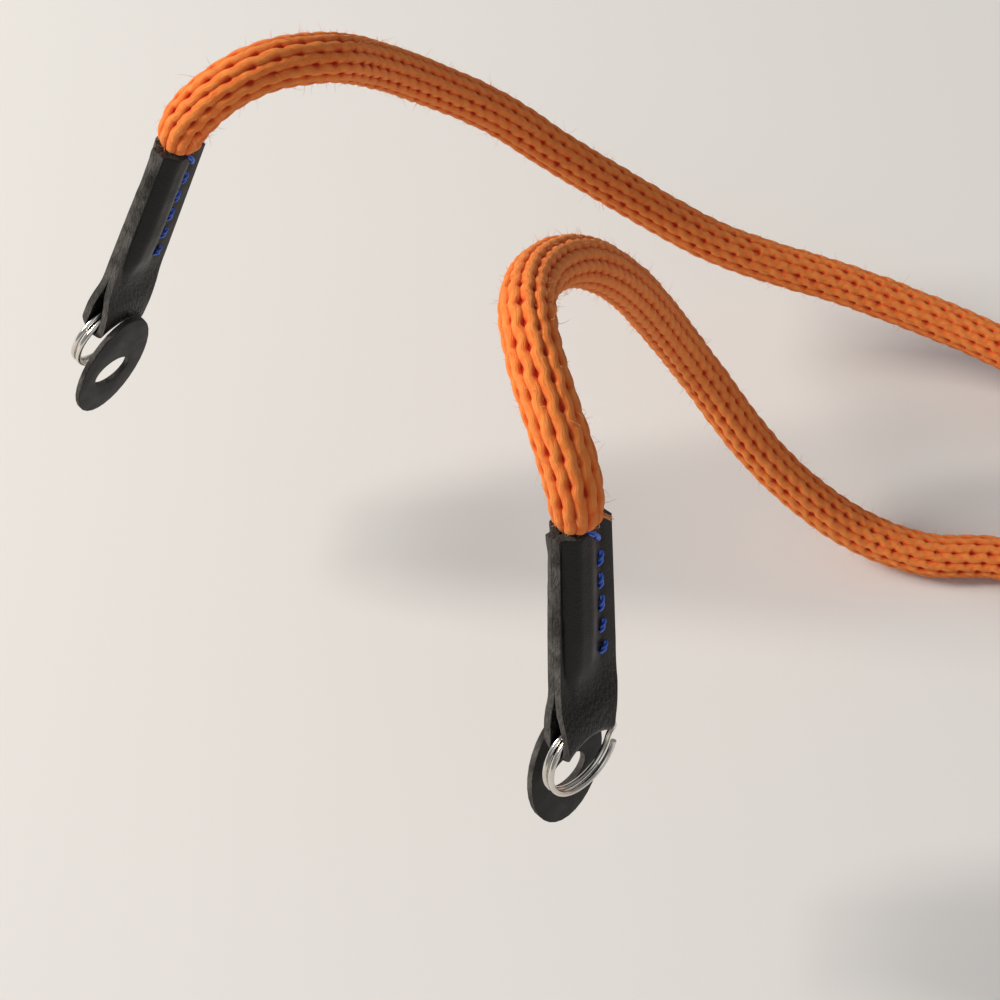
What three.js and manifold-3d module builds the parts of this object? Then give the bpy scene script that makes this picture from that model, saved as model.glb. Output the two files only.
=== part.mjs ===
import * as THREE from 'three';
import { mergeVertices } from 'three/addons/utils/BufferGeometryUtils.js';
import Module from 'manifold-3d';

// Neck strap of round knitted rope. Each end of the rope is held between the two layers of a leather strip
// that is folded round a split ring, and a leather shield lies on the inner side of each ring.
// Millimetres, +Z up. The origin is the middle of the right-hand ring, where it hangs on the lug it serves.

// Rope
const ROPE_DIAMETER = 8.6;
const ROPE_SIDES = 12;
const ROPE_STEPS = 78;
const ROPE_END_DIAMETER = 3.4;
const ROPE_END_DEPTH = 18;
const ROPE_NECK_LENGTH = 5;
const ROPE_NECK_OVERLAP = 0.5;

// Split ring of two turns of round wire
const RING_OUTER_DIAMETER = 15.4;
const WIRE_DIAMETER = 1;
const WIRE_SIDES = 8;
const TURN_GAP = 0.25;
const JOG_ANGLE = 0.6;
const RING_STEPS = 60;

// Folded leather strip and the sleeve that its two layers make round the rope's end
const STRIP_THICKNESS = 1.4;
const STRIP_WIDTH = 11.8;
const FOLD_WIDTH = 10;
const STRIP_LENGTH = 50;
const SPLIT_HEIGHT = 19;
const SLIT_WIDTH = 0.02;
const STRIP_STEPS = 8;
const SLEEVE_BOTTOM = 16;
const HOLLOW_BOTTOM = 21;
const SLEEVE_THICKNESS = 6.6;
const SLEEVE_WIDTH = 7.4;
const SLEEVE_WALL = 1.2;
const SLEEVE_SIDES = 24;

// Leather shield behind the ring
const SHIELD_HEIGHT = 26;
const SHIELD_WIDTH = 16;
const SHIELD_THICKNESS = 1.1;
const SHIELD_DROP = 5.5;
const SLOT_WIDTH = 8;
const SLOT_HEIGHT = 7;
const SLOT_DROP = 7;
const SHIELD_STEPS = 16;

// Gap between pieces that touch on the real strap
const CLEARANCE = 0.3;

// Both ends: the middle of the ring, the way the rope pulls on it, and the side that the shield is on
const ENDS = [
  { side: 'right', ring: [0, 0, 0], pull: [-6.9, 9.4, 46.5], inner: -1 },
  { side: 'left', ring: [-125.5, 3, 0], pull: [13.4, 18.6, 44], inner: 1 },
];

// The rope's middle line, from just above the right-hand sleeve to just above the left-hand one
const ROUTE = [
  [-8.0, 10.9, 53.8], [-11.0, 12.8, 58.0], [-16.2, 15.4, 62.4], [-23.0, 19.4, 64.7], [-29.6, 24.6, 64.0],
  [-35.0, 30.8, 60.2], [-39.5, 38.1, 54.0], [-42.8, 46.3, 45.8], [-45.0, 54.6, 34.9], [-46.7, 62.8, 20.8],
  [-47.2, 71.5, 1.8], [-43.4, 77.6, -15.6], [-32.7, 81.2, -32.7], [-22.5, 84.8, -43.5], [-11.8, 89.9, -52.0],
  [-0.3, 96.4, -55.8], [10.0, 105.0, -56.2], [26.0, 111.5, -56.2], [50.0, 112.0, -56.2], [80.0, 103.0, -56.2],
  [112.0, 89.0, -56.2], [143.0, 86.5, -56.2], [157.5, 98.5, -56.2], [157.5, 118.5, -56.2], [143.0, 132.0, -56.2],
  [112.0, 139.5, -56.0], [64.0, 144.5, -55.0], [22.0, 146.5, -52.5], [-14.0, 142.5, -48.0], [-44.0, 130.0, -40.0],
  [-70.0, 113.2, -29.6], [-85.6, 102.8, -17.0], [-96.3, 93.3, -3.7], [-102.6, 84.9, 8.9], [-106.2, 73.0, 23.4],
  [-105.2, 58.8, 40.0], [-102.3, 48.5, 50.6], [-103.8, 38.5, 55.4], [-106.5, 31.0, 54.7], [-110.6, 23.7, 48.9],
];

// The leather sleeve from its lower end to its mouth, as shares of its length, thickness and width
const SLEEVE_SECTIONS = [
  { along: 0, thick: 0.4, wide: 0.5 },
  { along: 0.1, thick: 0.66, wide: 0.76 },
  { along: 0.22, thick: 0.88, wide: 0.92 },
  { along: 0.4, thick: 0.98, wide: 0.98 },
  { along: 0.7, thick: 1, wide: 1 },
  { along: 1, thick: 1, wide: 1 },
];

// The neck of the rope from the sleeve's mouth up, as shares of the neck's length and the rope's radius
const NECK_SECTIONS = [
  { along: 0.1, radius: 0.5 },
  { along: 0.3, radius: 0.74 },
  { along: 0.6, radius: 0.9 },
  { along: 1, radius: 0.96 },
];

const RING_RADIUS = (RING_OUTER_DIAMETER - WIRE_DIAMETER) / 2;
const TURN_OFFSET = (WIRE_DIAMETER + TURN_GAP) / 2;
const FOLD_INNER_RADIUS = TURN_OFFSET + WIRE_DIAMETER / 2 + CLEARANCE;
const FOLD_OUTER_RADIUS = FOLD_INNER_RADIUS + STRIP_THICKNESS;

const wasm = await Module();
wasm.setup();

function toSolid(geometry) {
  const bare = geometry.clone();
  bare.deleteAttribute('normal');
  bare.deleteAttribute('uv');
  const merged = mergeVertices(bare, 1e-4);
  return new wasm.Manifold(new wasm.Mesh({
    numProp: 3,
    vertProperties: new Float32Array(merged.attributes.position.array),
    triVerts: new Uint32Array(merged.index.array),
  }));
}

function toGeometry(solid) {
  const mesh = solid.getMesh();
  const geometry = new THREE.BufferGeometry();
  geometry.setAttribute('position', new THREE.BufferAttribute(new Float32Array(mesh.vertProperties), 3));
  geometry.setIndex(new THREE.BufferAttribute(new Uint32Array(mesh.triVerts), 1));
  geometry.computeVertexNormals();
  return geometry;
}

function movePoints(geometry, change) {
  const position = geometry.attributes.position;
  const point = new THREE.Vector3();
  for (let i = 0; i < position.count; i += 1) {
    change(point.fromBufferAttribute(position, i));
    position.setXYZ(i, point.x, point.y, point.z);
  }
  return geometry;
}

function circleShape(radius, sides) {
  const corners = [];
  for (let i = 0; i < sides; i += 1) {
    const angle = (2 * Math.PI * i) / sides;
    corners.push(new THREE.Vector2(radius * Math.cos(angle), radius * Math.sin(angle)));
  }
  return new THREE.Shape(corners);
}

// An end's own axes: X across the leather's layers, Y along its width, Z up the rope's pull
function endMatrix(end) {
  const up = new THREE.Vector3(...end.pull).normalize();
  const width = new THREE.Vector3(0, 1, 0);
  width.addScaledVector(up, -width.dot(up)).normalize();
  const across = new THREE.Vector3().crossVectors(width, up);
  return new THREE.Matrix4().makeBasis(across, width, up).setPosition(...end.ring);
}

// Rope
function ropeTube() {
  const curve = new THREE.CatmullRomCurve3(ROUTE.map((p) => new THREE.Vector3(...p)), false, 'centripetal');
  return new THREE.ExtrudeGeometry(circleShape(ROPE_DIAMETER / 2, ROPE_SIDES), {
    steps: ROPE_STEPS,
    bevelEnabled: false,
    extrudePath: curve,
  });
}

function ropeNeck(end) {
  const endRadius = ROPE_END_DIAMETER / 2;
  const profile = [
    new THREE.Vector2(0, STRIP_LENGTH - ROPE_END_DEPTH),
    new THREE.Vector2(endRadius, STRIP_LENGTH - ROPE_END_DEPTH),
    new THREE.Vector2(endRadius, STRIP_LENGTH),
  ];
  for (const section of NECK_SECTIONS) {
    profile.push(new THREE.Vector2(
      (section.radius * ROPE_DIAMETER) / 2,
      STRIP_LENGTH + CLEARANCE + section.along * ROPE_NECK_LENGTH,
    ));
  }
  profile.push(new THREE.Vector2(0, STRIP_LENGTH + CLEARANCE + ROPE_NECK_LENGTH + ROPE_NECK_OVERLAP));
  const neck = new THREE.LatheGeometry(profile, ROPE_SIDES);
  neck.rotateX(Math.PI / 2);
  neck.applyMatrix4(endMatrix(end));
  return neck;
}

function ropeGeometry() {
  let solid = toSolid(ropeTube());
  for (const end of ENDS) {
    solid = solid.add(toSolid(ropeNeck(end)));
  }
  return toGeometry(solid);
}

// Split ring: two flat turns side by side, joined by a jog
class RingPath extends THREE.Curve {
  getPoint(t, target = new THREE.Vector3()) {
    const start = JOG_ANGLE / 2;
    const angle = start + t * (4 * Math.PI - JOG_ANGLE);
    const jog = THREE.MathUtils.smoothstep(angle, 2 * Math.PI - start, 2 * Math.PI + start);
    const across = THREE.MathUtils.lerp(-TURN_OFFSET, TURN_OFFSET, jog);
    return target.set(across, RING_RADIUS * Math.cos(angle), RING_RADIUS * Math.sin(angle));
  }
}

function ringGeometry() {
  return new THREE.ExtrudeGeometry(circleShape(WIRE_DIAMETER / 2, WIRE_SIDES), {
    steps: RING_STEPS,
    bevelEnabled: false,
    extrudePath: new RingPath(),
  });
}

// Leather strip, folded round the ring: its side outline is extruded over its width
function hairpin(path, halfTop, halfFold) {
  const middle = (SPLIT_HEIGHT + RING_RADIUS) / 2;
  path.moveTo(-halfTop, SPLIT_HEIGHT);
  path.bezierCurveTo(-halfTop, middle, -halfFold, middle, -halfFold, RING_RADIUS);
  path.absarc(0, RING_RADIUS, halfFold, Math.PI, 2 * Math.PI, false);
  path.bezierCurveTo(halfFold, middle, halfTop, middle, halfTop, SPLIT_HEIGHT);
  return path;
}

function foldedStrip() {
  const outline = new THREE.Shape();
  outline.moveTo(-STRIP_THICKNESS, STRIP_LENGTH);
  hairpin(outline, STRIP_THICKNESS, FOLD_OUTER_RADIUS);
  outline.lineTo(STRIP_THICKNESS, STRIP_LENGTH);
  outline.closePath();
  outline.holes.push(hairpin(new THREE.Path(), SLIT_WIDTH / 2, FOLD_INNER_RADIUS));
  const strip = new THREE.ExtrudeGeometry(outline, {
    steps: STRIP_STEPS,
    depth: STRIP_WIDTH,
    bevelEnabled: false,
    curveSegments: STRIP_STEPS,
  });
  strip.translate(0, 0, -STRIP_WIDTH / 2);
  strip.rotateX(Math.PI / 2);
  return movePoints(strip, (point) => {
    const nearFold = 1 - THREE.MathUtils.smoothstep(point.z, RING_RADIUS, SPLIT_HEIGHT);
    point.y *= THREE.MathUtils.lerp(1, FOLD_WIDTH / STRIP_WIDTH, nearFold);
    point.z -= nearFold * (RING_RADIUS - Math.sqrt(RING_RADIUS ** 2 - point.y ** 2));
  });
}

function sleeveBody(thickness, width, bottom, top) {
  const rows = SLEEVE_SECTIONS.length - 1;
  const body = new THREE.CylinderGeometry(1, 1, rows, SLEEVE_SIDES, rows);
  body.translate(0, rows / 2, 0);
  body.rotateX(Math.PI / 2);
  return movePoints(body, (point) => {
    const section = SLEEVE_SECTIONS[Math.round(point.z)];
    point.x *= (section.thick * thickness) / 2;
    point.y *= (section.wide * width) / 2;
    point.z = THREE.MathUtils.lerp(bottom, top, section.along);
  });
}

function leatherEndGeometry() {
  const hollow = sleeveBody(
    SLEEVE_THICKNESS - 2 * SLEEVE_WALL,
    SLEEVE_WIDTH - 2 * SLEEVE_WALL,
    HOLLOW_BOTTOM,
    STRIP_LENGTH + CLEARANCE,
  );
  const solid = toSolid(foldedStrip())
    .add(toSolid(sleeveBody(SLEEVE_THICKNESS, SLEEVE_WIDTH, SLEEVE_BOTTOM, STRIP_LENGTH)))
    .subtract(toSolid(hollow));
  return toGeometry(solid);
}

// Leather shield: a rounded tab with a slot for the lug
function shieldGeometry(inner) {
  const outline = new THREE.Shape();
  outline.absellipse(0, -SHIELD_DROP, SHIELD_WIDTH / 2, SHIELD_HEIGHT / 2, 0, 2 * Math.PI, false, 0);
  const slot = new THREE.Path();
  slot.absellipse(0, -SLOT_DROP, SLOT_WIDTH / 2, SLOT_HEIGHT / 2, 0, 2 * Math.PI, true, 0);
  outline.holes.push(slot);
  const shield = new THREE.ExtrudeGeometry(outline, {
    depth: SHIELD_THICKNESS,
    bevelEnabled: false,
    curveSegments: SHIELD_STEPS,
  });
  shield.translate(0, 0, -SHIELD_THICKNESS / 2);
  shield.applyMatrix4(new THREE.Matrix4().makeBasis(
    new THREE.Vector3(0, 1, 0),
    new THREE.Vector3(0, 0, 1),
    new THREE.Vector3(1, 0, 0),
  ));
  shield.translate(inner * (FOLD_OUTER_RADIUS + CLEARANCE + SHIELD_THICKNESS / 2), 0, 0);
  return shield;
}

// Finishes
function finish(color, roughness, metalness) {
  return new THREE.MeshStandardMaterial({ color, roughness, metalness });
}

function piece(name, geometry, material) {
  const mesh = new THREE.Mesh(geometry, material);
  mesh.name = name;
  return mesh;
}

function endGroup(end) {
  const group = new THREE.Group();
  group.applyMatrix4(endMatrix(end));
  group.add(
    piece(`leather_end_${end.side}`, leatherEndGeometry(), finish(0x17181a, 0.55, 0)),
    piece(`split_ring_${end.side}`, ringGeometry(), finish(0xc9c5bd, 0.22, 1)),
    piece(`leather_shield_${end.side}`, shieldGeometry(end.inner), finish(0x151617, 0.6, 0)),
  );
  return group;
}

const strap = new THREE.Group();
strap.add(piece('rope', ropeGeometry(), finish(0xe8672a, 0.9, 0)));
for (const end of ENDS) {
  strap.add(endGroup(end));
}

export default strap;
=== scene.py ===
import math

import bpy
import numpy as np
from mathutils import Matrix, Vector


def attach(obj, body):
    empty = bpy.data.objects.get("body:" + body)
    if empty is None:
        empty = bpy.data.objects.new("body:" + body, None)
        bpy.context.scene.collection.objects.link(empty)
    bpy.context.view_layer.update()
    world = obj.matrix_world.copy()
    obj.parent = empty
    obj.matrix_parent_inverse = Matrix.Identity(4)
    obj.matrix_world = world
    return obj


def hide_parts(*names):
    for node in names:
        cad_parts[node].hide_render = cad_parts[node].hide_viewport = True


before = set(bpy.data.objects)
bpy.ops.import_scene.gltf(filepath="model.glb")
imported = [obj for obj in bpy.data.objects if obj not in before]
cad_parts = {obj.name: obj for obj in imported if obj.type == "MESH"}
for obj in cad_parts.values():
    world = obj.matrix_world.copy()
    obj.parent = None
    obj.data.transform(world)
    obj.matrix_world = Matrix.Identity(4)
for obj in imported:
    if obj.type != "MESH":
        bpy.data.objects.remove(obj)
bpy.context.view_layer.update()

# Sizes in millimetres, as in the part's source
MM = 0.001
FLOOR_HEIGHT = -60.5

# Rope
ROPE_DIAMETER = 8.6
CORE_RADIUS = 3.45
RIDGES = 12
RIDGE_DEPTH = 0.95
COURSE_LENGTH = 3.6
RINGS_IN_COURSE = 10
TWIST = 0.0032
LINE_STEP = 0.5
CORE_STEP = 2.5
CORE_SIDES = 12
# Shares of a ridge's pitch: what it laps over the next, gives way to a pit, sways past it and strays
RIDGE_OVERLAP = 0.13
PIT_WIDTH = 0.24
CREST_SWAY = 0.07
CREST_STRAY = 0.03
# How far a crease between two loops leans, in courses, how wide it is and how deep, in millimetres
CREASE_LEAN = 0.16
CREASE_WIDTH = 0.1
CREASE_DEPTH = 0.1
# The depth under the rope's face over which the yarn's colour changes, darker deeper down: painted shade in
# the grooves
SHADED_DEPTH = 1.2
SLEEVE_TOP = 50
HELD_LENGTH = 12
LOOSE_FIBRES = 5200
STRAY_STRANDS = 60
FRAYED_FIBRES = 12
TUFT_WAY = (0.706, 0.704, -0.083)

# The rope's middle line, from just above the right-hand sleeve to just above the left-hand one
ROUTE = [
    (-8.0, 10.9, 53.8), (-11.0, 12.8, 58.0), (-16.2, 15.4, 62.4), (-23.0, 19.4, 64.7),
    (-29.6, 24.6, 64.0), (-35.0, 30.8, 60.2), (-39.5, 38.1, 54.0), (-42.8, 46.3, 45.8),
    (-45.0, 54.6, 34.9), (-46.7, 62.8, 20.8), (-47.2, 71.5, 1.8), (-43.4, 77.6, -15.6),
    (-32.7, 81.2, -32.7), (-22.5, 84.8, -43.5), (-11.8, 89.9, -52.0), (-0.3, 96.4, -55.8),
    (10.0, 105.0, -56.2), (26.0, 111.5, -56.2), (50.0, 112.0, -56.2), (80.0, 103.0, -56.2),
    (112.0, 89.0, -56.2), (143.0, 86.5, -56.2), (157.5, 98.5, -56.2), (157.5, 118.5, -56.2),
    (143.0, 132.0, -56.2), (112.0, 139.5, -56.0), (64.0, 144.5, -55.0), (22.0, 146.5, -52.5),
    (-14.0, 142.5, -48.0), (-44.0, 130.0, -40.0), (-70.0, 113.2, -29.6), (-85.6, 102.8, -17.0),
    (-96.3, 93.3, -3.7), (-102.6, 84.9, 8.9), (-106.2, 73.0, 23.4), (-105.2, 58.8, 40.0),
    (-102.3, 48.5, 50.6), (-103.8, 38.5, 55.4), (-106.5, 31.0, 54.7), (-110.6, 23.7, 48.9),
]

# Both ends: the middle of the ring and the way the rope pulls on it
ENDS = {
    "right": {"ring": (0, 0, 0), "pull": (-6.9, 9.4, 46.5)},
    "left": {"ring": (-125.5, 3, 0), "pull": (13.4, 18.6, 44)},
}

# Leather ends, split rings and thread
STRIP_THICKNESS = 1.4
SPLIT_HEIGHT = 19
RING_RADIUS = 7.2
WIRE_DIAMETER = 1.0
TURN_OFFSET = 0.625
JOG_ANGLE = 0.6
FOLD_RADIUS = 2.125
BELLY = 1.6
STRIP_SHIFT = 0.85
PULL_ASIDE = 0.4
SEAM_PLACE = 3.4
STITCH_TOP = 46.4
STITCH_PITCH = 4.8
STITCH_LENGTH = 3.7
STITCH_DRIFT = 0.14
# How far each stitch goes across the strip and along it
STITCHES = ((-2.4, 3.6), (1.1, 2.9), (0.4, 3.4), (0.6, 3.6), (1.0, 2.8), (1.5, 2.2))
# How far a stitch is moved across, out and up: the first one curls over the mouth, the others sink in
FIRST_MOVED = (-2.0, 0.34, 2.0)
OTHERS_MOVED = (0, -0.04, 0)
THREAD_DIAMETER = 0.9

random = np.random.default_rng(7)


# Camera, floor and light


def make_camera():
    data = bpy.data.cameras.new("camera")
    data.lens = 72
    data.sensor_width = 36
    data.clip_start = 0.01
    data.clip_end = 10
    camera = bpy.data.objects.new("camera", data)
    bpy.context.scene.collection.objects.link(camera)
    forward = Vector((-0.440, 0.344, -0.830))
    upward = Vector((-0.555, 0.6222, 0.552))
    back = -forward.normalized()
    right = upward.cross(back).normalized()
    turn = Matrix((right, back.cross(right), back)).transposed()
    camera.matrix_world = Matrix.Translation((0.1085, -0.0933, 0.2871)) @ turn.to_4x4()
    bpy.context.scene.camera = camera


def make_light(name, place, aim, power, size, color):
    data = bpy.data.lights.new(name, "AREA")
    data.energy = power
    data.color = color
    data.size = size
    lamp = bpy.data.objects.new(name, data)
    bpy.context.scene.collection.objects.link(lamp)
    lamp.location = place
    lamp.rotation_euler = (Vector(aim) - Vector(place)).to_track_quat("-Z", "Y").to_euler()


def make_room():
    bpy.ops.object.select_all(action="DESELECT")
    bpy.ops.mesh.primitive_plane_add(size=6, location=(0, 0, FLOOR_HEIGHT * MM))
    floor = bpy.context.object
    floor.name = "floor"
    floor.data.materials.append(paper_material())
    world = bpy.data.worlds.new("soft_room")
    world.use_nodes = True
    background = world.node_tree.nodes["Background"]
    background.inputs["Color"].default_value = (0.9, 0.93, 1, 1)
    background.inputs["Strength"].default_value = 0.28
    bpy.context.scene.world = world
    bpy.context.scene.view_settings.view_transform = "Standard"
    make_light("key", (-1.1, -0.75, 1.05), (-0.03, 0.05, 0), 34, 0.55, (1, 0.94, 0.86))
    make_light("fill", (0.5, -0.3, 0.5), (-0.03, 0.05, 0), 0.7, 0.6, (0.9, 0.95, 1))


# Materials


def new_material(name):
    material = bpy.data.materials.new(name)
    material.use_nodes = True
    nodes = material.node_tree.nodes
    nodes.clear()
    shader = nodes.new("ShaderNodeBsdfPrincipled")
    output = nodes.new("ShaderNodeOutputMaterial")
    material.node_tree.links.new(shader.outputs["BSDF"], output.inputs["Surface"])
    return material, shader


def paper_material():
    material, shader = new_material("pale_paper")
    shader.inputs["Base Color"].default_value = (0.72, 0.71, 0.69, 1)
    shader.inputs["Roughness"].default_value = 0.9
    return material


def node_in(tree, kind, values=None, settings=None):
    """A node with its sockets' values and its settings; a value that is a socket is linked."""
    node = tree.nodes.new(kind)
    for key, value in (settings or {}).items():
        setattr(node, key, value)
    for key, value in (values or {}).items():
        if isinstance(value, bpy.types.NodeSocket):
            tree.links.new(value, node.inputs[key])
        else:
            node.inputs[key].default_value = value
    return node


def noise_in(tree, vector, scale, detail=2.0, roughness=0.5):
    """Noise over a surface, whose scale is the number of its cells to a unit of vector."""
    values = {"Vector": vector, "Scale": scale, "Detail": detail, "Roughness": roughness}
    return node_in(tree, "ShaderNodeTexNoise", values).outputs["Fac"]


def range_in(tree, value, given, wanted):
    """A value of the given range, moved into the wanted one."""
    (low, high), (start, stop) = given, wanted
    values = {"Value": value, "From Min": low, "From Max": high, "To Min": start, "To Max": stop}
    return node_in(tree, "ShaderNodeMapRange", values).outputs["Result"]


def ramp_in(tree, value, stops):
    """A colour ramp through stops, each a place on it and the colour there."""
    node = node_in(tree, "ShaderNodeValToRGB", {"Fac": value})
    elements = node.color_ramp.elements
    for number, (place, color) in enumerate(stops):
        if number < 2:
            elements[number].position = place
        else:
            elements.new(place)
        elements[number].color = (*color, 1)
    return node.outputs["Color"]


def scaled_sum_in(tree, value, factor, added):
    """A value times a factor, with something added to it."""
    values = {0: value, 1: factor, 2: added}
    return node_in(tree, "ShaderNodeMath", values, {"operation": "MULTIPLY_ADD"}).outputs["Value"]


def bump_in(tree, height, strength, distance):
    """A normal that is tilted by a height over the surface."""
    values = {"Strength": strength, "Distance": distance, "Height": height}
    return node_in(tree, "ShaderNodeBump", values).outputs["Normal"]


def new_group(name, inputs, outputs):
    """A shader node group with number outputs; inputs is the kind of each of its input sockets."""
    tree = bpy.data.node_groups.new(name, "ShaderNodeTree")
    for socket, kind in inputs.items():
        tree.interface.new_socket(socket, in_out="INPUT", socket_type=f"NodeSocket{kind}")
    for socket in outputs:
        tree.interface.new_socket(socket, in_out="OUTPUT", socket_type="NodeSocketFloat")
    return tree, tree.nodes.new("NodeGroupInput").outputs, tree.nodes.new("NodeGroupOutput").inputs


def fibre_group():
    """Streaks of fibre along the first axis of a surface's own map, and the yarn's uneven dye."""
    tree, given, made = new_group(
        "fibre_streaks", {"Vector": "Vector", "Across": "Float", "Along": "Float"}, ("Streaks", "Dye")
    )
    scale = node_in(tree, "ShaderNodeCombineXYZ", {"X": given["Along"], "Y": given["Across"]})
    stretched = node_in(
        tree,
        "ShaderNodeVectorMath",
        {0: given["Vector"], 1: scale.outputs["Vector"]},
        {"operation": "MULTIPLY"},
    )
    tree.links.new(noise_in(tree, stretched.outputs["Vector"], 1.0, 4.0, 0.65), made["Streaks"])
    tree.links.new(noise_in(tree, given["Vector"], 0.6), made["Dye"])
    return tree


def grain_group():
    """Leather's pebbled grain, its scattered creases and its dull and shiny patches."""
    tree, given, made = new_group(
        "leather_grain", {"Vector": "Vector", "Size": "Float", "Creases": "Float"}, ("Height", "Patches")
    )
    cells = node_in(
        tree,
        "ShaderNodeTexVoronoi",
        {"Vector": given["Vector"], "Scale": given["Size"]},
        {"feature": "SMOOTH_F1"},
    )
    grain = scaled_sum_in(tree, noise_in(tree, given["Vector"], 5200.0, 3.0), 0.4, cells.outputs["Distance"])
    slanted = node_in(
        tree,
        "ShaderNodeMapping",
        {"Vector": given["Vector"], "Rotation": (0.45, 0.2, 0), "Scale": (2300, 2300, 620)},
    )
    folds = range_in(tree, noise_in(tree, slanted.outputs["Vector"], 1.0), (0.42, 0.6), (0.0, 2.8))
    tree.links.new(scaled_sum_in(tree, folds, given["Creases"], grain), made["Height"])
    tree.links.new(noise_in(tree, given["Vector"], 260.0, 4.0), made["Patches"])
    return tree


def leather_material(name, dark, light, size, creases, bump_height, rough):
    """Dyed leather: dark and light are its colours, creases a number or the name of an attribute."""
    material, shader = new_material(name)
    tree = material.node_tree
    place = node_in(tree, "ShaderNodeTexCoord")
    grain = node_in(tree, "ShaderNodeGroup", settings={"node_tree": groups["grain"]})
    tree.links.new(place.outputs["Object"], grain.inputs["Vector"])
    grain.inputs["Size"].default_value = size
    if isinstance(creases, str):
        mask = node_in(tree, "ShaderNodeAttribute", settings={"attribute_name": creases})
        tree.links.new(mask.outputs["Fac"], grain.inputs["Creases"])
    else:
        grain.inputs["Creases"].default_value = creases
    patches = grain.outputs["Patches"]
    tree.links.new(ramp_in(tree, patches, ((0.35, dark), (0.7, light))), shader.inputs["Base Color"])
    tree.links.new(range_in(tree, patches, (0.3, 0.7), rough), shader.inputs["Roughness"])
    tree.links.new(bump_in(tree, grain.outputs["Height"], 0.6, bump_height), shader.inputs["Normal"])
    shader.inputs["Specular IOR Level"].default_value = 0.18
    return material


def steel_material():
    material, shader = new_material("polished_wire")
    tree = material.node_tree
    place = node_in(tree, "ShaderNodeTexCoord")
    marks = noise_in(tree, place.outputs["Object"], 450.0, 3.0)
    tint = ramp_in(tree, marks, ((0, (0.6, 0.57, 0.51)), (1, (0.76, 0.73, 0.68))))
    tree.links.new(tint, shader.inputs["Base Color"])
    tree.links.new(range_in(tree, marks, (0.35, 0.7), (0.13, 0.26)), shader.inputs["Roughness"])
    shader.inputs["Metallic"].default_value = 1
    return material


def thread_material():
    material, shader = new_material("blue_thread")
    tree = material.node_tree
    place = node_in(tree, "ShaderNodeTexCoord")
    fibres = node_in(tree, "ShaderNodeGroup", settings={"node_tree": groups["fibres"]})
    tree.links.new(place.outputs["Object"], fibres.inputs["Vector"])
    fibres.inputs["Across"].default_value = 9000.0
    fibres.inputs["Along"].default_value = 9000.0
    streaks = fibres.outputs["Streaks"]
    blue = ramp_in(tree, streaks, ((0.3, (0.02, 0.085, 0.54)), (0.75, (0.08, 0.23, 0.95))))
    tree.links.new(blue, shader.inputs["Base Color"])
    tree.links.new(bump_in(tree, streaks, 0.4, 0.0001), shader.inputs["Normal"])
    shader.inputs["Roughness"].default_value = 0.5
    shader.inputs["Sheen Weight"].default_value = 0.2
    return material


def loose_material():
    """Thin loose fibres, paler than the yarn because light passes through them."""
    material, shader = new_material("loose_cotton")
    tree = material.node_tree
    place = node_in(tree, "ShaderNodeTexCoord")
    dye = noise_in(tree, place.outputs["Object"], 700.0)
    pale = ramp_in(tree, dye, ((0, (0.78, 0.24, 0.07)), (1, (0.9, 0.42, 0.18))))
    tree.links.new(pale, shader.inputs["Base Color"])
    shader.inputs["Roughness"].default_value = 0.7
    shader.inputs["Sheen Weight"].default_value = 0.3
    shader.inputs["Sheen Tint"].default_value = (1, 0.6, 0.35, 1)
    return material


def yarn_material():
    """Matt cotton yarn, whose colour goes from deep in a groove over a flank to a crest: painted shade,
    darker where the yarn dips into grooves and pits.
    """
    material, shader = new_material("orange_cotton")
    tree = material.node_tree
    surface = node_in(tree, "ShaderNodeUVMap", settings={"uv_map": "yarn"})
    fibres = node_in(tree, "ShaderNodeGroup", settings={"node_tree": groups["fibres"]})
    tree.links.new(surface.outputs["UV"], fibres.inputs["Vector"])
    fibres.inputs["Across"].default_value = 4.2
    fibres.inputs["Along"].default_value = 0.8
    relief_shade = node_in(tree, "ShaderNodeAttribute", settings={"attribute_name": "relief_shade"})
    shade = scaled_sum_in(tree, fibres.outputs["Streaks"], 0.7, -0.35)
    height = node_in(
        tree, "ShaderNodeMath", {0: relief_shade.outputs["Fac"], 1: shade}, {"operation": "ADD"}
    )
    # Painted shade: deep red down in the grooves and pits, brighter orange up on the crests.
    orange = ramp_in(
        tree,
        height.outputs["Value"],
        ((0.08, (0.68, 0.045, 0.012)), (0.5, (0.88, 0.15, 0.022)), (0.95, (0.95, 0.28, 0.06))),
    )
    dyed = node_in(
        tree,
        "ShaderNodeMixRGB",
        {"Fac": 0.25, "Color1": orange, "Color2": fibres.outputs["Dye"]},
        {"blend_type": "OVERLAY"},
    )
    tree.links.new(dyed.outputs["Color"], shader.inputs["Base Color"])
    tree.links.new(bump_in(tree, fibres.outputs["Streaks"], 0.8, 0.0005), shader.inputs["Normal"])
    shader.inputs["Roughness"].default_value = 0.88
    shader.inputs["Specular IOR Level"].default_value = 0.2
    shader.inputs["Sheen Weight"].default_value = 0.35
    shader.inputs["Sheen Roughness"].default_value = 0.5
    shader.inputs["Sheen Tint"].default_value = (1, 0.5, 0.22, 1)
    return material


def make_finishes():
    black = (0.004, 0.004, 0.004), (0.009, 0.0085, 0.008)
    matt_black = (0.006, 0.006, 0.006), (0.011, 0.011, 0.011)
    bare = (0.028, 0.026, 0.024), (0.11, 0.102, 0.093)
    return {
        "leather": leather_material("black_leather", *black, 2600.0, "crease", 0.00007, (0.34, 0.5)),
        "shield": leather_material("shield_leather", *matt_black, 3200.0, 0.1, 0.00006, (0.45, 0.6)),
        "cut_leather": leather_material("cut_leather", *bare, 6500.0, 0.6, 0.00016, (0.75, 0.95)),
        "steel": steel_material(),
        "thread": thread_material(),
        "loose": loose_material(),
        "yarn": yarn_material(),
    }


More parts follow.
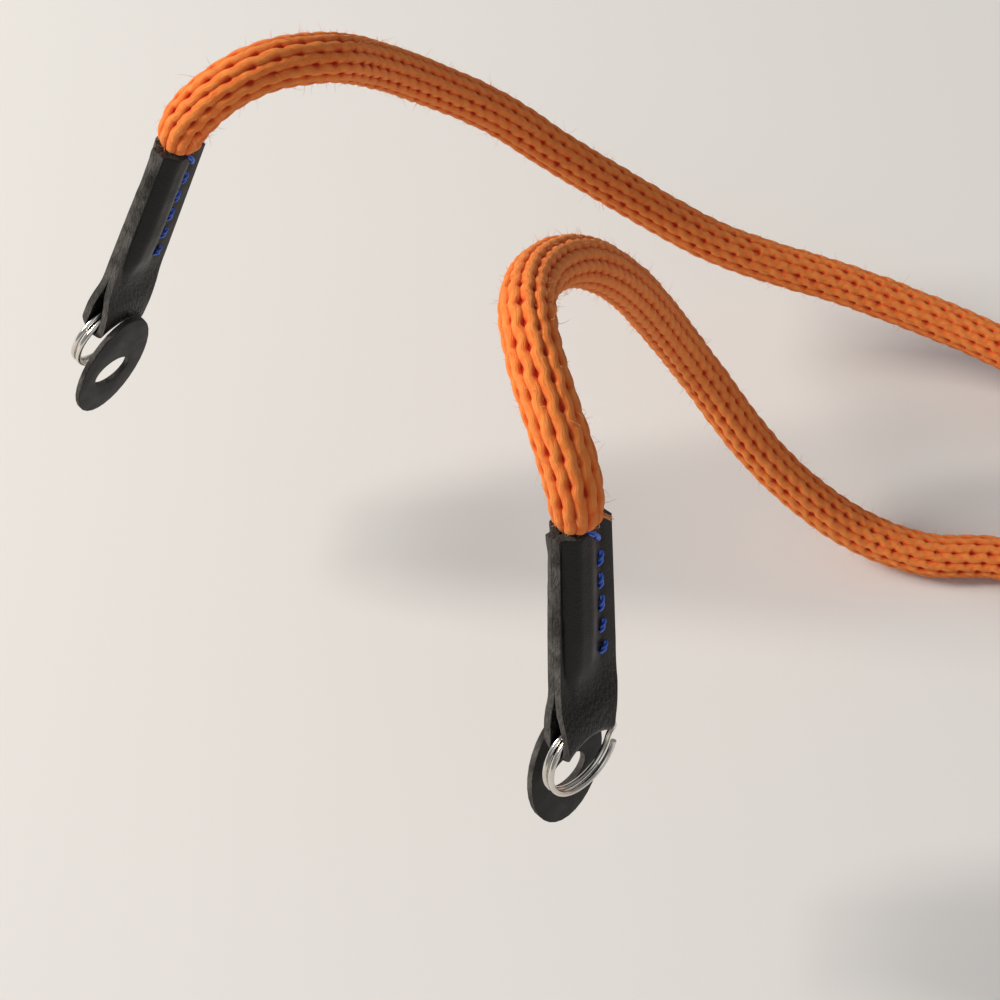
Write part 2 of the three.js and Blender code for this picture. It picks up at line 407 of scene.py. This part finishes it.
def smooth(value, low, high):
    """From 0 at low to 1 at high, without a kink at either."""
    share = np.clip((value - low) / (high - low), 0, 1)
    return share * share * (3 - 2 * share)


# Rope


def end_axes(end):
    """An end's own axes: across the leather's layers, along its width and up the rope's pull."""
    up = Vector(end["pull"]).normalized()
    width = Vector((0, 1, 0))
    width = (width - up * width.dot(up)).normalized()
    return width.cross(up), width, up


def end_matrix(side):
    end = ENDS[side]
    turn = Matrix(end_axes(end)).transposed().to_4x4()
    return Matrix.Translation(Vector(end["ring"])) @ turn


def smooth_line(points, step):
    """Evenly spaced points on the centripetal curve through points, and their distance along it."""
    p = np.array(points, float)
    p = np.vstack([2 * p[0] - p[1], p, 2 * p[-1] - p[-2]])
    knots = np.sqrt(np.linalg.norm(np.diff(p, axis=0), axis=1))
    fine = []
    for i in range(1, len(p) - 2):
        d0, d1, d2 = knots[i - 1], knots[i], knots[i + 1]
        start = ((p[i] - p[i - 1]) / d0 - (p[i + 1] - p[i - 1]) / (d0 + d1) + (p[i + 1] - p[i]) / d1) * d1
        stop = ((p[i + 1] - p[i]) / d1 - (p[i + 2] - p[i]) / (d1 + d2) + (p[i + 2] - p[i + 1]) / d2) * d1
        t = np.linspace(0, 1, 60, endpoint=False)[:, None]
        fine.append(
            (2 * t**3 - 3 * t**2 + 1) * p[i]
            + (t**3 - 2 * t**2 + t) * start
            + (3 * t**2 - 2 * t**3) * p[i + 1]
            + (t**3 - t**2) * stop
        )
    fine = np.vstack([*fine, p[-2:-1]])
    run = np.concatenate([[0], np.cumsum(np.linalg.norm(np.diff(fine, axis=0), axis=1))])
    count = int(round(run[-1] / step)) + 1
    even = np.linspace(0, run[-1], count)
    return np.stack([np.interp(even, run, fine[:, k]) for k in range(3)], axis=1), even


def carried_axes(line):
    """Along, side and outer axes at each point of a line, carried along it without twist."""
    along = np.gradient(line, axis=0)
    along /= np.linalg.norm(along, axis=1)[:, None]
    side = np.cross(along[0], (0.3, 0.9, 0.1))
    sides = []
    for direction in along:
        side = side - direction * np.dot(side, direction)
        side = side / np.linalg.norm(side)
        sides.append(side)
    sides = np.array(sides)
    return along, sides, np.cross(along, sides)


class Rope:
    """The rope's middle line in millimetres, and points in its own measure: along, angle and radius."""

    def __init__(self):
        right = end_matrix("right")
        left = end_matrix("left")
        inside = np.arange(SLEEVE_TOP - HELD_LENGTH, SLEEVE_TOP + 1, 4)
        start = [tuple(right @ Vector((0, 0, float(w)))) for w in inside]
        stop = [tuple(left @ Vector((0, 0, float(w)))) for w in inside[::-1]]
        self.line, self.run = smooth_line([*start, *ROUTE, *stop], LINE_STEP)
        self.axes = carried_axes(self.line)
        self.length = float(self.run[-1])
        self.mouths = HELD_LENGTH, self.length - HELD_LENGTH
        self.uneven = random.normal(0, 1, (3, RIDGES, int(self.length / COURSE_LENGTH) + 2))

    def from_mouth(self, run):
        return np.minimum(run - self.mouths[0], self.mouths[1] - run)

    def fullness(self, run):
        """How plump the rope is along its length: a little less where it comes out of its leather ends."""
        return np.interp(self.from_mouth(run), [-1, 2, 8, 18, 40], [0.95, 0.96, 0.99, 1, 1])

    def unevenness(self, run):
        """How each ridge strays along its length, in its height, its place and the pits beside it."""
        here = run / COURSE_LENGTH
        course = np.arange(self.uneven.shape[2])
        return [np.stack([np.interp(here, course, row) for row in rows]) for rows in self.uneven]

    def place(self, run, angle, radius):
        """Points beside the middle line, squeezed flat and drawn aside near a leather end's mouth."""
        point, side, outer = (
            np.stack([np.interp(run, self.run, values[:, k]) for k in range(3)], axis=-1)
            for values in (self.line, self.axes[1], self.axes[2])
        )
        offset = (np.cos(angle) * radius)[..., None] * side + (np.sin(angle) * radius)[..., None] * outer
        out = self.from_mouth(run)
        for name, near in (("right", run < self.length / 2), ("left", run >= self.length / 2)):
            across, width, _ = end_axes(ENDS[name])
            for axis, kept in ((across, (0.38, 0.5, 0.84, 0.97, 1)), (width, (0.6, 0.7, 0.86, 0.94, 1))):
                lost = np.where(near, 1 - np.interp(out, [-1, 0, 0.9, 2.2, 5.5], kept), 0)
                offset -= (lost * (offset @ np.array(axis)))[..., None] * np.array(axis)
            aside = np.where(near, PULL_ASIDE * (1 - smooth(out, 1, 14)), 0)
            offset += aside[..., None] * np.array(width)
        return point + offset


def mesh_piece(name, points, faces, material, maps=None, relief_shade=None):
    """A riding mesh from points in millimetres, with each point's place on its own map and its relief shade,
    the painted shade of the yarn's grooves.
    """
    mesh = bpy.data.meshes.new(name)
    mesh.from_pydata((points * MM).tolist(), [], faces)
    if maps is not None:
        layer = mesh.uv_layers.new(name="yarn")
        corner = np.empty(len(mesh.loops), np.int32)
        mesh.loops.foreach_get("vertex_index", corner)
        layer.data.foreach_set("uv", maps[corner].astype(np.float32).ravel())
    if relief_shade is not None:
        attribute = mesh.attributes.new("relief_shade", "FLOAT", "POINT")
        attribute.data.foreach_set("value", relief_shade.astype(np.float32))
    mesh.shade_smooth()
    mesh.materials.append(material)
    piece = bpy.data.objects.new(name, mesh)
    bpy.context.scene.collection.objects.link(piece)
    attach(piece, "root")
    return piece


def tube_faces(rings, sides, first=0):
    """Faces of a tube of rings, whose end rings are closed by a point before and after them."""
    faces = []
    base = first + 1
    for ring in range(rings - 1):
        for k in range(sides):
            a = base + ring * sides + k
            b = base + ring * sides + (k + 1) % sides
            faces.append((a, b, b + sides, a + sides))
    last = base + rings * sides
    for k in range(sides):
        n = (k + 1) % sides
        faces.append((first, base + n, base + k))
        faces.append((last, last - sides + k, last - sides + n))
    return faces


def make_core(rope, material):
    """The plain round middle of the rope, which fills the knit and goes into both leather ends."""
    run = np.linspace(0, rope.length, int(rope.length / CORE_STEP))
    angle = np.arange(CORE_SIDES) * 2 * math.pi / CORE_SIDES
    radius = CORE_RADIUS * rope.fullness(run)
    rings = rope.place(
        np.repeat(run[:, None], CORE_SIDES, 1),
        np.repeat(angle[None], len(run), 0),
        np.repeat(radius[:, None], CORE_SIDES, 1),
    )
    points = np.vstack([rope.line[:1], rings.reshape(-1, 3), rope.line[-1:]])
    maps = np.zeros((len(points), 2))
    faces = tube_faces(len(run), CORE_SIDES)
    # Painted shade: the core takes the yarn's darkest groove colour, as it shows only deep in the pits.
    core = mesh_piece("rope_core", points, faces, material, maps, np.zeros(len(points)))
    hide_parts("rope")
    return core


# The places round a ridge of the knit, from its crest, the last one on its inner side
RIDGE_TURN = np.radians([-112, -74, -37, 0, 37, 74, 112, 180])


def pits(rope, run, stray):
    """How far the ridges part in each groove: a drop-shaped pit in each course, later in each next groove."""
    phase = (run / COURSE_LENGTH + np.arange(RIDGES)[:, None] / 3) % 1
    opening = smooth(phase, 0, 0.16) * (1 - smooth(phase, 0.16, 0.72)) ** 1.3
    return opening * np.clip(0.9 + 0.22 * stray, 0.3, 1.4) * smooth(rope.from_mouth(run), 1.5, 7)


def make_knit(rope, name, start, stop, material):
    """A stretch of the knitted tube: the legs of its loops follow each other as plump ridges."""
    run = np.linspace(start, stop, int((stop - start) / COURSE_LENGTH * RINGS_IN_COURSE) + 1)
    ridge = np.arange(RIDGES)[:, None]
    pitch = 2 * math.pi / RIDGES
    plump, lean, stray = rope.unevenness(run)
    left = pits(rope, run, stray)
    right = np.roll(left, -1, axis=0)
    crest = ridge + 0.5 + CREST_SWAY * (left - right) + CREST_STRAY * lean
    low = ridge - RIDGE_OVERLAP + PIT_WIDTH * left
    high = ridge + 1 + RIDGE_OVERLAP - PIT_WIDTH * right
    sideways = np.sin(RIDGE_TURN)
    slant = np.where(ridge % 2, 1, -1)[..., None]
    reach = np.where(sideways < 0, (crest - low)[..., None], (high - crest)[..., None])
    a = pitch * (crest[..., None] + reach * sideways) + TWIST * run[:, None]
    phase = (run / COURSE_LENGTH + ridge / 3 + 0.42)[..., None] + CREASE_LEAN * slant * sideways
    crease = np.exp(-((((phase + 0.5) % 1 - 0.5) / CREASE_WIDTH) ** 2))
    heart = (ROPE_DIAMETER / 2 - RIDGE_DEPTH + 0.05 * plump) * rope.fullness(run)
    top = RIDGE_DEPTH + 0.05 * np.cos(2 * math.pi * (phase - 0.5)) - CREASE_DEPTH * crease
    r = heart[..., None] + top * np.cos(RIDGE_TURN)
    along = np.broadcast_to(run[None, :, None], r.shape)
    per = len(run) * len(RIDGE_TURN) + 2
    ends = np.broadcast_to(run[[0, -1]], (RIDGES, 2))
    poles = rope.place(ends, pitch * crest[:, [0, -1]] + TWIST * ends, heart[:, [0, -1]])
    points = np.empty((RIDGES, per, 3))
    points[:, 0] = poles[:, 0]
    points[:, 1:-1] = rope.place(along, a, r).reshape(RIDGES, -1, 3)
    points[:, -1] = poles[:, 1]
    beside = np.where(sideways < 0, left[..., None], right[..., None])
    # Painted shade: the yarn's colour darkens with depth into a groove, more beside the pits and in the
    # creases between loops.
    relief_shade = np.zeros((RIDGES, per))
    level = (r - ROPE_DIAMETER / 2 + SHADED_DEPTH) / SHADED_DEPTH
    level = level - 0.35 * beside * np.abs(sideways) - 0.12 * crease
    relief_shade[:, 1:-1] = level.reshape(RIDGES, -1)
    maps = np.zeros((RIDGES, per, 2))
    maps[:, 1:-1, 0] = (along + 0.8 * slant * sideways).reshape(RIDGES, -1)
    maps[:, 1:-1, 1] = (np.broadcast_to(RIDGE_TURN, r.shape) + ridge[..., None] * 5.3).reshape(RIDGES, -1)
    faces = []
    for number in range(RIDGES):
        faces += tube_faces(len(run), len(RIDGE_TURN), number * per)
    piece = mesh_piece(
        name, points.reshape(-1, 3), faces, material, maps.reshape(-1, 2), np.clip(relief_shade, 0, 1).ravel()
    )
    return piece


def thin_fibres(paths, thickness):
    """Points and faces of three-sided fibres, each along its own path to a point."""
    count, steps = paths.shape[:2]
    along = np.gradient(paths, axis=1)
    along /= np.linalg.norm(along, axis=2, keepdims=True)
    aside = np.cross(along, random.normal(size=(count, 1, 3)))
    aside /= np.linalg.norm(aside, axis=2, keepdims=True)
    other = np.cross(along, aside)
    turn = np.arange(3) * 2 * math.pi / 3
    section = np.cos(turn)[:, None] * aside[:, :, None] + np.sin(turn)[:, None] * other[:, :, None]
    taper = np.linspace(1, 0.6, steps - 1)[:, None, None]
    rings = paths[:, :-1, None] + thickness[:, None, None, None] * taper * section[:, :-1]
    points = np.concatenate([rings.reshape(count, -1, 3), paths[:, -1:]], axis=1)
    tip = 3 * (steps - 1)
    shape = [(0, 2, 1)]
    for k in range(3):
        n = (k + 1) % 3
        shape += [(i + k, i + n, i + n + 3, i + k + 3) for i in range(0, tip - 3, 3)]
        shape.append((tip - 3 + k, tip - 3 + n, tip))
    faces = [tuple(v + i * (tip + 1) for v in face) for i in range(count) for face in shape]
    points = points.reshape(-1, 3)
    points[:, 2] = np.maximum(points[:, 2], FLOOR_HEIGHT + 0.1)
    return points, faces


def make_fuzz(rope):
    """Loose fibres that stand off the yarn, a few stray strands and the frayed end at the right mouth."""
    count = LOOSE_FIBRES
    length = 0.5 + 2.5 * random.random(count) ** 2
    thickness = random.uniform(0.022, 0.04, count)
    thickness[:STRAY_STRANDS] = random.uniform(0.06, 0.11, STRAY_STRANDS)
    share = np.linspace(0, 1, 4)
    run = random.uniform(rope.mouths[0] + 0.5, rope.mouths[1] - 0.5, count)[:, None]
    angle = random.uniform(0, 2 * math.pi, count)[:, None]
    lean, swing, curl = random.normal(0, 1, (3, count, 1))
    rise = random.uniform(0.25, 0.95, (count, 1))
    length = length[:, None]
    out = length * rise * (share + 0.25 * np.tanh(curl) * share**2)
    along = length * (0.7 * np.tanh(lean) * share + 0.35 * np.tanh(curl) * share**2)
    around = length * 0.6 * (np.tanh(swing) * share - 0.5 * np.tanh(curl) * share**2)
    radius = (ROPE_DIAMETER / 2 - 0.12) * rope.fullness(run) + out
    paths = rope.place(run + along, angle + around / radius, radius)
    mouth = np.array(end_matrix("right") @ Vector((0, 0, SLEEVE_TOP + 1.6)))
    beside = np.array(TUFT_WAY)
    start = mouth + 3.6 * beside + random.normal(0, 0.16, (FRAYED_FIBRES, 3))
    reach = 1.6 * beside + random.normal(0, 0.12, (FRAYED_FIBRES, 3))
    droop = np.array((0.2, -0.2, -0.6)) + random.normal(0, 0.12, (FRAYED_FIBRES, 3))
    tuft = start[:, None] + share[:, None] * reach[:, None] + share[:, None] ** 2 * droop[:, None]
    thickness = np.concatenate([thickness, random.uniform(0.1, 0.17, FRAYED_FIBRES)])
    points, faces = thin_fibres(np.concatenate([paths, tuft]), thickness)
    piece = mesh_piece("rope_fuzz", points, faces, finishes["loose"])
    return piece


def make_rope():
    rope = Rope()
    cotton = finishes["yarn"]
    core = make_core(rope, cotton)
    cuts = np.linspace(rope.mouths[0] - 1.5, rope.mouths[1] + 1.5, 4)
    knit = [make_knit(rope, f"rope_knit_{i + 1}", cuts[i], cuts[i + 1], cotton) for i in range(3)]
    make_fuzz(rope)


# Leather ends


class Strip:
    """The leather strip that is folded round a ring, in an end's own measure, in millimetres."""

    def __init__(self):
        turn = np.linspace(0, math.pi / 2, 24)
        arc = np.stack([FOLD_RADIUS * np.sin(turn), RING_RADIUS - FOLD_RADIUS * np.cos(turn)], axis=1)
        t = np.linspace(0, 1, 40)[1:, None]
        middle = (SPLIT_HEIGHT + RING_RADIUS) / 2
        shut = STRIP_THICKNESS / 2
        corners = (FOLD_RADIUS, RING_RADIUS), (FOLD_RADIUS, middle), (shut, middle), (shut, SPLIT_HEIGHT)
        shares = (1 - t) ** 3, 3 * t * (1 - t) ** 2, 3 * t**2 * (1 - t), t**3
        flare = sum(share * np.array(corner) for share, corner in zip(shares, corners))
        top = np.array([[shut, SLEEVE_TOP]])
        self.half = np.vstack([arc, flare, top])
        steps = np.linalg.norm(np.diff(self.half, axis=0), axis=1)
        self.run = np.concatenate([[0], np.cumsum(steps)])
        self.length = float(self.run[-1])

    def rise(self, width, up):
        """How far the leather stands out over the rope, and is drawn in by the seams beside it."""
        belly = BELLY * np.interp(up, [14, 19, 23, 29, 46, 50], [0, 0.3, 0.72, 0.95, 1, 1.1])
        belly = belly * smooth(width, -3.4, -1.5) * (1 - smooth(width, 0.2, 3.6))
        wave = 0.5 + 0.5 * np.cos(2 * math.pi * (up - STITCH_TOP) / STITCH_PITCH)
        front = (0.5 + 0.12 * wave) * np.exp(-(((width + 3.65) / 0.6) ** 2)) * (1 - smooth(up, 45, 50))
        back = (0.14 + 0.12 * wave) * np.exp(-(((width - SEAM_PLACE - 0.3) / 0.7) ** 2))
        return belly - smooth(up, 18, 24) * (front + back)

    def place(self, along, across):
        """Where a point of the flat strip goes: along from its fold, across from its middle as a share."""
        face = np.sign(along)
        out = np.interp(np.abs(along), self.run, self.half[:, 0])
        up = np.interp(np.abs(along), self.run, self.half[:, 1])
        width = across * np.interp(up, [4, 9, 14, 22, 50], [4.9, 5.2, 6.0, 5.95, 5.3])
        width = width + STRIP_SHIFT * smooth(up, 6, 18)
        near_fold = 1 - smooth(up, RING_RADIUS, SPLIT_HEIGHT)
        out = out + self.rise(width, up)
        up = up - 0.26 * np.maximum(width - 1.5, 0) * smooth(up, 36, 50)
        up = up - near_fold * (RING_RADIUS - np.sqrt(RING_RADIUS**2 - width**2 * near_fold))
        return np.stack([face * out, width, up], axis=-1)


def finish_piece(piece, name, material):
    """Names a modelled piece, gives it a finish where it has none, and lets it ride."""
    piece.name = name
    piece.data.name = name
    if not piece.data.materials:
        piece.data.materials.append(material)
    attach(piece, "root")


def copy_to_end(model, side):
    """A copy of what is modelled in an end's own measure, in millimetres, at its place in metres."""
    piece = bpy.data.objects.new(model.name, model.data.copy())
    bpy.context.scene.collection.objects.link(piece)
    piece.data.transform(Matrix.Scale(MM, 4) @ end_matrix(side))
    return piece


def add_modifier(piece, kind, **settings):
    modifier = piece.modifiers.new(kind.lower(), kind)
    for key, value in settings.items():
        setattr(modifier, key, value)
    bpy.ops.object.select_all(action="DESELECT")
    piece.select_set(True)
    bpy.context.view_layer.objects.active = piece
    bpy.ops.object.modifier_apply(modifier=modifier.name)


def round_arrises(piece, width, segments):
    add_modifier(
        piece,
        "BEVEL",
        width=width,
        segments=segments,
        limit_method="ANGLE",
        angle_limit=math.radians(50),
    )


def model_leather_strip():
    """The folded strip with rounded arrises, its cut edge in bare leather and its creases over the fold."""
    strip = Strip()
    bpy.ops.object.select_all(action="DESELECT")
    bpy.ops.mesh.primitive_grid_add(x_subdivisions=36, y_subdivisions=150, size=2)
    piece = bpy.context.object
    mesh = piece.data
    flat = np.empty(len(mesh.vertices) * 3)
    mesh.vertices.foreach_get("co", flat)
    flat = flat.reshape(-1, 3)
    placed = strip.place(flat[:, 1] * strip.length, flat[:, 0])
    mesh.vertices.foreach_set("co", placed.ravel())
    mesh.update()
    mesh.materials.append(finishes["leather"])
    mesh.materials.append(finishes["cut_leather"])
    add_modifier(
        piece,
        "SOLIDIFY",
        thickness=STRIP_THICKNESS - 0.04,
        offset=0,
        use_even_offset=True,
        material_offset_rim=1,
    )
    round_arrises(piece, 0.22, 2)
    mesh = piece.data
    points = np.empty(len(mesh.vertices) * 3)
    mesh.vertices.foreach_get("co", points)
    height = points.reshape(-1, 3)[:, 2]
    crease = smooth(height, 3, 8) * (1 - smooth(height, 14, 22))
    attribute = mesh.attributes.new("crease", "FLOAT", "POINT")
    attribute.data.foreach_set("value", crease.astype(np.float32))
    mesh.shade_smooth()
    return piece


# Thread


def model_stitch():
    """One stitch of two-ply thread, lying along the third axis with its ends turned down, in millimetres."""
    plies = []
    for ply in range(2):
        curve = bpy.data.curves.new("ply", "CURVE")
        curve.dimensions = "3D"
        curve.bevel_depth = THREAD_DIAMETER / 4
        curve.bevel_resolution = 1
        curve.use_fill_caps = True
        line = curve.splines.new("POLY")
        steps = 13
        line.points.add(steps - 1)
        wrap = THREAD_DIAMETER / 4
        for i in range(steps):
            share = i / (steps - 1)
            along = (share - 0.5) * STITCH_LENGTH
            angle = 2 * math.pi * (share * 1.4) + ply * math.pi
            rise = 0.3 * math.sin(math.pi * share) ** 0.7 - 0.75 * abs(2 * share - 1) ** 6
            line.points[i].co = (rise + wrap * math.cos(angle), wrap * math.sin(angle), along, 1)
            line.points[i].radius = 1 - 0.45 * abs(2 * share - 1) ** 5
        plies.append(bpy.data.objects.new("ply", curve))
        bpy.context.scene.collection.objects.link(plies[-1])
    bpy.ops.object.select_all(action="DESELECT")
    for ply in plies:
        ply.select_set(True)
    bpy.context.view_layer.objects.active = plies[0]
    bpy.ops.object.convert(target="MESH")
    bpy.ops.object.join()
    return bpy.context.object


def model_seam():
    """The back seam, whose stitches show on both faces of the leather; the front seam's thread is sunk."""
    strip = Strip()
    model = model_stitch()
    copies = []
    for face in (-1, 1):
        for number, (across, along) in enumerate(STITCHES):
            shift, lift, rise = FIRST_MOVED if number == 0 else OTHERS_MOVED
            middle = SEAM_PLACE + STITCH_DRIFT * number + shift
            height = STITCH_TOP - number * STITCH_PITCH + rise
            widths = np.array([middle + across / 2, middle - across / 2, middle + 0.1, middle - 0.1])
            heights = np.array([height + along / 2, height - along / 2, height, height])
            outs = STRIP_THICKNESS + lift + strip.rise(widths, heights)
            top, bottom, beyond, before = (
                Vector((face * out, width, up)) for out, width, up in zip(outs, widths, heights)
            )
            way = top - bottom
            outward = (beyond - before).cross(Vector((0, 0, face))).normalized()
            side_way = way.cross(outward).normalized()
            turn = Matrix((side_way.cross(way).normalized(), side_way, way / STITCH_LENGTH)).transposed()
            copy = bpy.data.objects.new("stitch", model.data.copy())
            copy.data.transform(Matrix.Translation((top + bottom) / 2) @ turn.to_4x4())
            bpy.context.scene.collection.objects.link(copy)
            copies.append(copy)
    bpy.data.objects.remove(model)
    bpy.ops.object.select_all(action="DESELECT")
    for copy in copies:
        copy.select_set(True)
    bpy.context.view_layer.objects.active = copies[0]
    bpy.ops.object.join()
    piece = bpy.context.object
    piece.data.shade_smooth()
    piece.data.materials.clear()
    return piece


# Rings and shields


def model_ring():
    """A split ring: wire in two turns that lie side by side, with a step from one to the other."""
    curve = bpy.data.curves.new("wire", "CURVE")
    curve.dimensions = "3D"
    curve.bevel_depth = WIRE_DIAMETER / 2
    curve.bevel_resolution = 4
    curve.use_fill_caps = True
    line = curve.splines.new("POLY")
    steps = 144
    line.points.add(steps - 1)
    start = JOG_ANGLE / 2
    for i in range(steps):
        angle = start + i / (steps - 1) * (4 * math.pi - JOG_ANGLE)
        jog = float(smooth(np.array(angle), 2 * math.pi - start, 2 * math.pi + start))
        across = (2 * jog - 1) * TURN_OFFSET
        line.points[i].co = (across, RING_RADIUS * math.cos(angle), RING_RADIUS * math.sin(angle), 1)
    piece = bpy.data.objects.new("wire", curve)
    bpy.context.scene.collection.objects.link(piece)
    bpy.ops.object.select_all(action="DESELECT")
    piece.select_set(True)
    bpy.context.view_layer.objects.active = piece
    bpy.ops.object.convert(target="MESH")
    piece = bpy.context.object
    round_arrises(piece, 0.12, 2)
    piece.data.shade_smooth()
    return piece


def make_shield(side):
    """The shield's own outline, with its arrises rounded and its cut edge in bare leather."""
    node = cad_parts[f"leather_shield_{side}"]
    piece = bpy.data.objects.new("shield", node.data.copy())
    bpy.context.scene.collection.objects.link(piece)
    piece.data.materials.clear()
    piece.data.materials.append(finishes["shield"])
    piece.data.materials.append(finishes["cut_leather"])
    bpy.ops.object.select_all(action="DESELECT")
    piece.select_set(True)
    bpy.context.view_layer.objects.active = piece
    bpy.ops.object.mode_set(mode="EDIT")
    bpy.ops.mesh.select_all(action="SELECT")
    bpy.ops.mesh.remove_doubles(threshold=0.00001)
    bpy.ops.mesh.dissolve_limited(angle_limit=math.radians(1))
    bpy.ops.object.mode_set(mode="OBJECT")
    across = end_axes(ENDS[side])[0]
    for face in piece.data.polygons:
        face.material_index = int(abs(face.normal.dot(across)) < 0.5)
    round_arrises(piece, 0.22 * MM, 3)
    piece.data.shade_smooth()
    finish_piece(piece, f"shield_{side}", finishes["shield"])
    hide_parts(f"leather_shield_{side}")


def make_ends():
    """Both ends of the strap: the strip, the seam and the ring are modelled once and copied to each."""
    strip = model_leather_strip()
    seam = model_seam()
    ring = model_ring()
    for side in ENDS:
        piece = copy_to_end(strip, side)
        finish_piece(piece, f"leather_strip_{side}", finishes["leather"])
        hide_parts(f"leather_end_{side}")
        piece = copy_to_end(seam, side)
        finish_piece(piece, f"thread_{side}", finishes["thread"])
        piece = copy_to_end(ring, side)
        finish_piece(piece, f"wire_ring_{side}", finishes["steel"])
        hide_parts(f"split_ring_{side}")
        make_shield(side)
    for model in (strip, seam, ring):
        bpy.data.objects.remove(model)


groups = {"fibres": fibre_group(), "grain": grain_group()}
finishes = make_finishes()
make_camera()
make_room()
make_rope()
make_ends()
